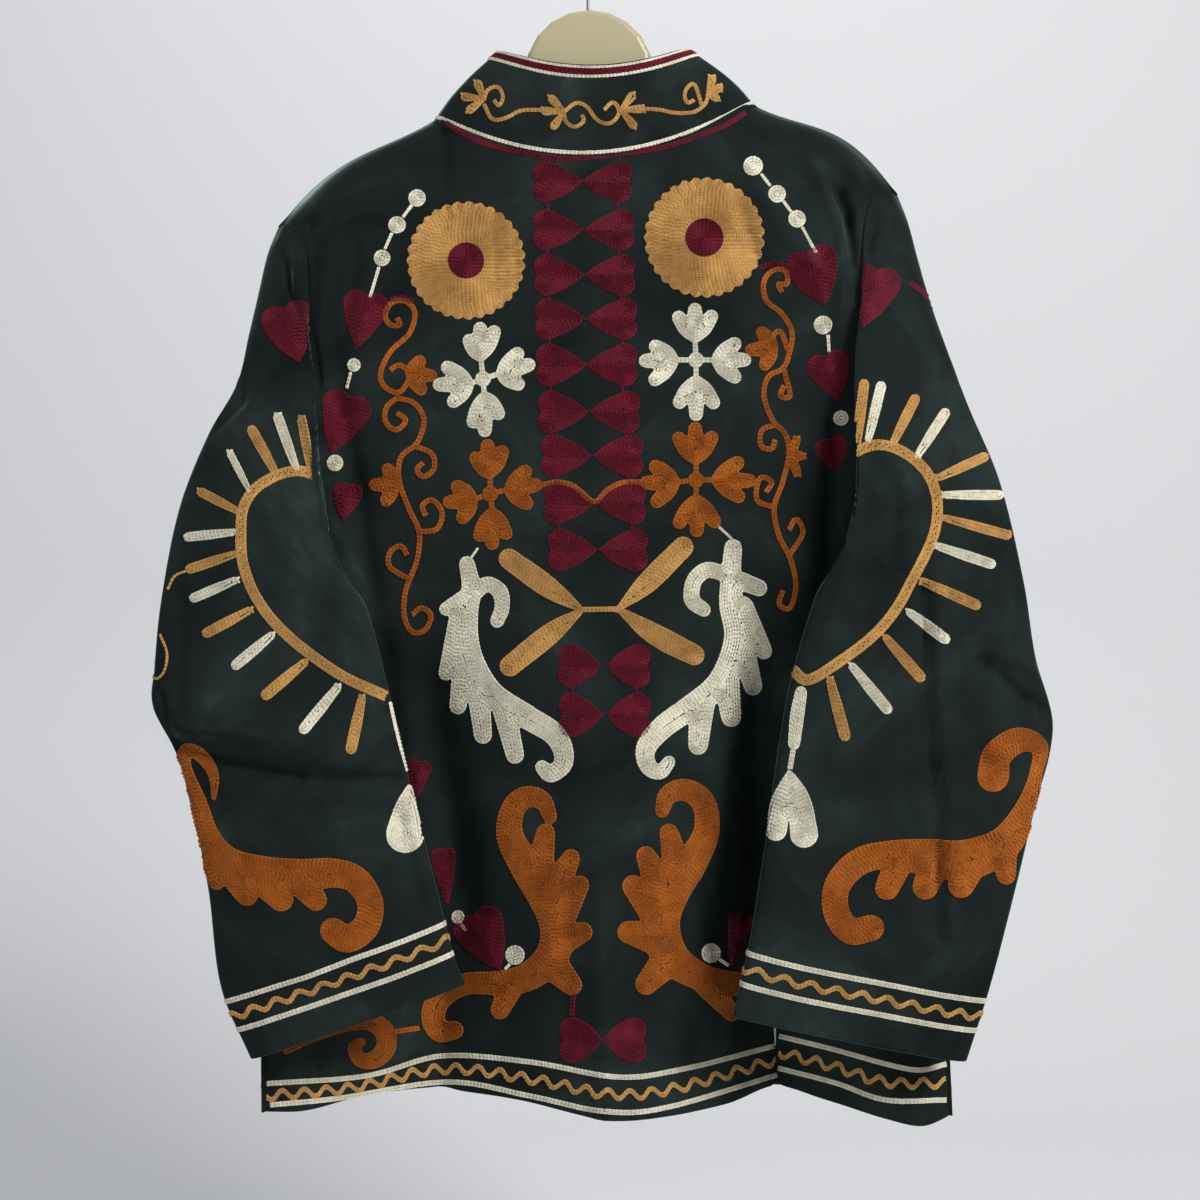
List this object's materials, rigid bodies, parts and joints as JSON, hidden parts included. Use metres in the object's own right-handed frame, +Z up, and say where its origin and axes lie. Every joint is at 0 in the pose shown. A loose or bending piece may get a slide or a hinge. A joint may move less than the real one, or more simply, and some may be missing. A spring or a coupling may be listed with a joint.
{
  "type": "embroidered velvet jacket on a hanger",
  "caption": "Hip-length velvet jacket with stand collar and set-in sleeves, hanging open-hemmed on a hanger with a wire hook.",
  "frame": {"origin": "where the hanger's hook rests on what holds it up, at the inside top of the hook", "axes": "+Z up, +X to the right as the jacket's back is looked at, +Y from the jacket's back to its fronts"},
  "size_m": [0.6424, 0.1206, 0.8841],
  "materials": {
    "velvet": "short-pile cotton velvet, dark bottle green, with a soft grey-green sheen",
    "thread_maroon": "maroon chain stitch thread",
    "thread_gold": "old gold chain stitch thread",
    "thread_rust": "rust orange chain stitch thread",
    "thread_cream": "cream chain stitch thread",
    "hanger_board": "smooth khaki board, satin",
    "hook_wire": "thin dark steel wire"
  },
  "bodies": {
    "root": {"back": "velvet", "front_left": "velvet", "front_right": "velvet", "sleeve_left": "velvet", "sleeve_right": "velvet", "collar": "velvet", "hanger_board": "hanger_board", "hanger_hook": "hook_wire"}
  },
  "joints": []
}
